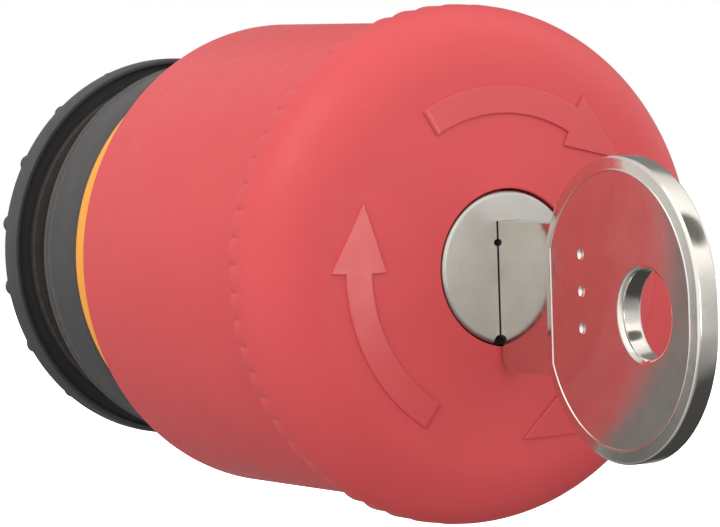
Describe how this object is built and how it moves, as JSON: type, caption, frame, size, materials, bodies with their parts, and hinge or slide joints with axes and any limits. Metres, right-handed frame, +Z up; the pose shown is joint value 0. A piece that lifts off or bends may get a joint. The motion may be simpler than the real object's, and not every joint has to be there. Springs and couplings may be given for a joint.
{
  "type": "emergency stop button",
  "caption": "Round red mushroom-head emergency stop actuator with a key-release lock, yellow collar, black bezel and ring nut, for a 22 mm panel hole.",
  "frame": {"origin": "on the push axis, in the plane where the rubber seal meets the front of the panel", "axes": "+Y runs back through the panel along the push axis, the head faces -Y, +Z is up and +X is to the right seen from the front"},
  "size_m": [0.038, 0.0903, 0.038],
  "materials": {
    "red_plastic": "fine satin moulded surface",
    "yellow_plastic": "satin",
    "black_plastic": "fine matt texture",
    "carrier_plastic": "matt",
    "white_plastic": "matt",
    "latch_plastic": "matt",
    "black_rubber": "matt",
    "lock_nickel": "satin nickel plate",
    "key_nickel": "polished nickel plate",
    "cast_zinc": "as cast",
    "brass": "stamped",
    "steel": "bright",
    "spring_steel": "drawn wire"
  },
  "bodies": {
    "housing": {"threaded_neck": "black_plastic", "bezel_ring": "black_plastic", "yellow_collar": "yellow_plastic", "panel_seal": "black_rubber", "spring_seat": "steel", "return_spring": "spring_steel", "shaft_seal": "black_rubber", "seal_retainer": "steel"},
    "head": {"mushroom_cap": "red_plastic", "skirt_sleeve": "red_plastic", "head_carrier": "carrier_plastic", "carrier_screws": "steel", "stem_circlip": "spring_steel", "contact_plunger": "white_plastic", "lock_body": "cast_zinc", "latch_spring": "spring_steel"},
    "plug": {"lock_plug": "lock_nickel", "lock_washer": "brass", "lock_wafers": "brass", "wafer_springs": "spring_steel", "lock_cam": "steel", "cam_screw": "steel"},
    "key": {"key": "key_nickel"},
    "latch_left": {"latch_pawl_left": "latch_plastic"},
    "latch_right": {"latch_pawl_right": "latch_plastic"},
    "nut_washer": {"thrust_washer": "black_rubber"},
    "nut": {"ring_nut": "black_plastic"}
  },
  "joints": [
    {"name": "head_push", "type": "slide", "parent": "housing", "child": "head", "axis": [0, 1, 0], "range_m": [0, 0.005], "deforming": ["return_spring"]},
    {"name": "key_turn", "type": "hinge", "parent": "head", "child": "plug", "pos_m": [0, -0.03, 0], "axis": [0, 1, 0], "range_deg": [0, 45], "stiffness_Nm_per_rad": 0.02, "deforming": ["latch_spring"]},
    {"name": "key_withdraw", "type": "slide", "parent": "plug", "child": "key", "axis": [0, -1, 0], "range_m": [0, 0.026]},
    {"name": "latch_left_draw", "type": "slide", "parent": "head", "child": "latch_left", "axis": [1, 0, 0], "range_m": [0, 0.0011]},
    {"name": "latch_right_draw", "type": "slide", "parent": "head", "child": "latch_right", "axis": [-1, 0, 0], "range_m": [0, 0.0011]},
    {"name": "washer_travel", "type": "slide", "parent": "housing", "child": "nut_washer", "axis": [0, 1, 0], "range_m": [0, 0.022]},
    {"name": "nut_turn", "type": "hinge", "parent": "nut_washer", "child": "nut", "pos_m": [0, 0.006, 0], "axis": [0, 1, 0], "range_deg": [0, 5281]}
  ],
  "couplings": [
    {"joint": "latch_left_draw", "follows": "key_turn", "m_per_rad": 0.0014005},
    {"joint": "latch_right_draw", "follows": "key_turn", "m_per_rad": 0.0014005},
    {"joint": "nut_turn", "follows": "washer_travel", "rad_per_m": 4188.8}
  ]
}
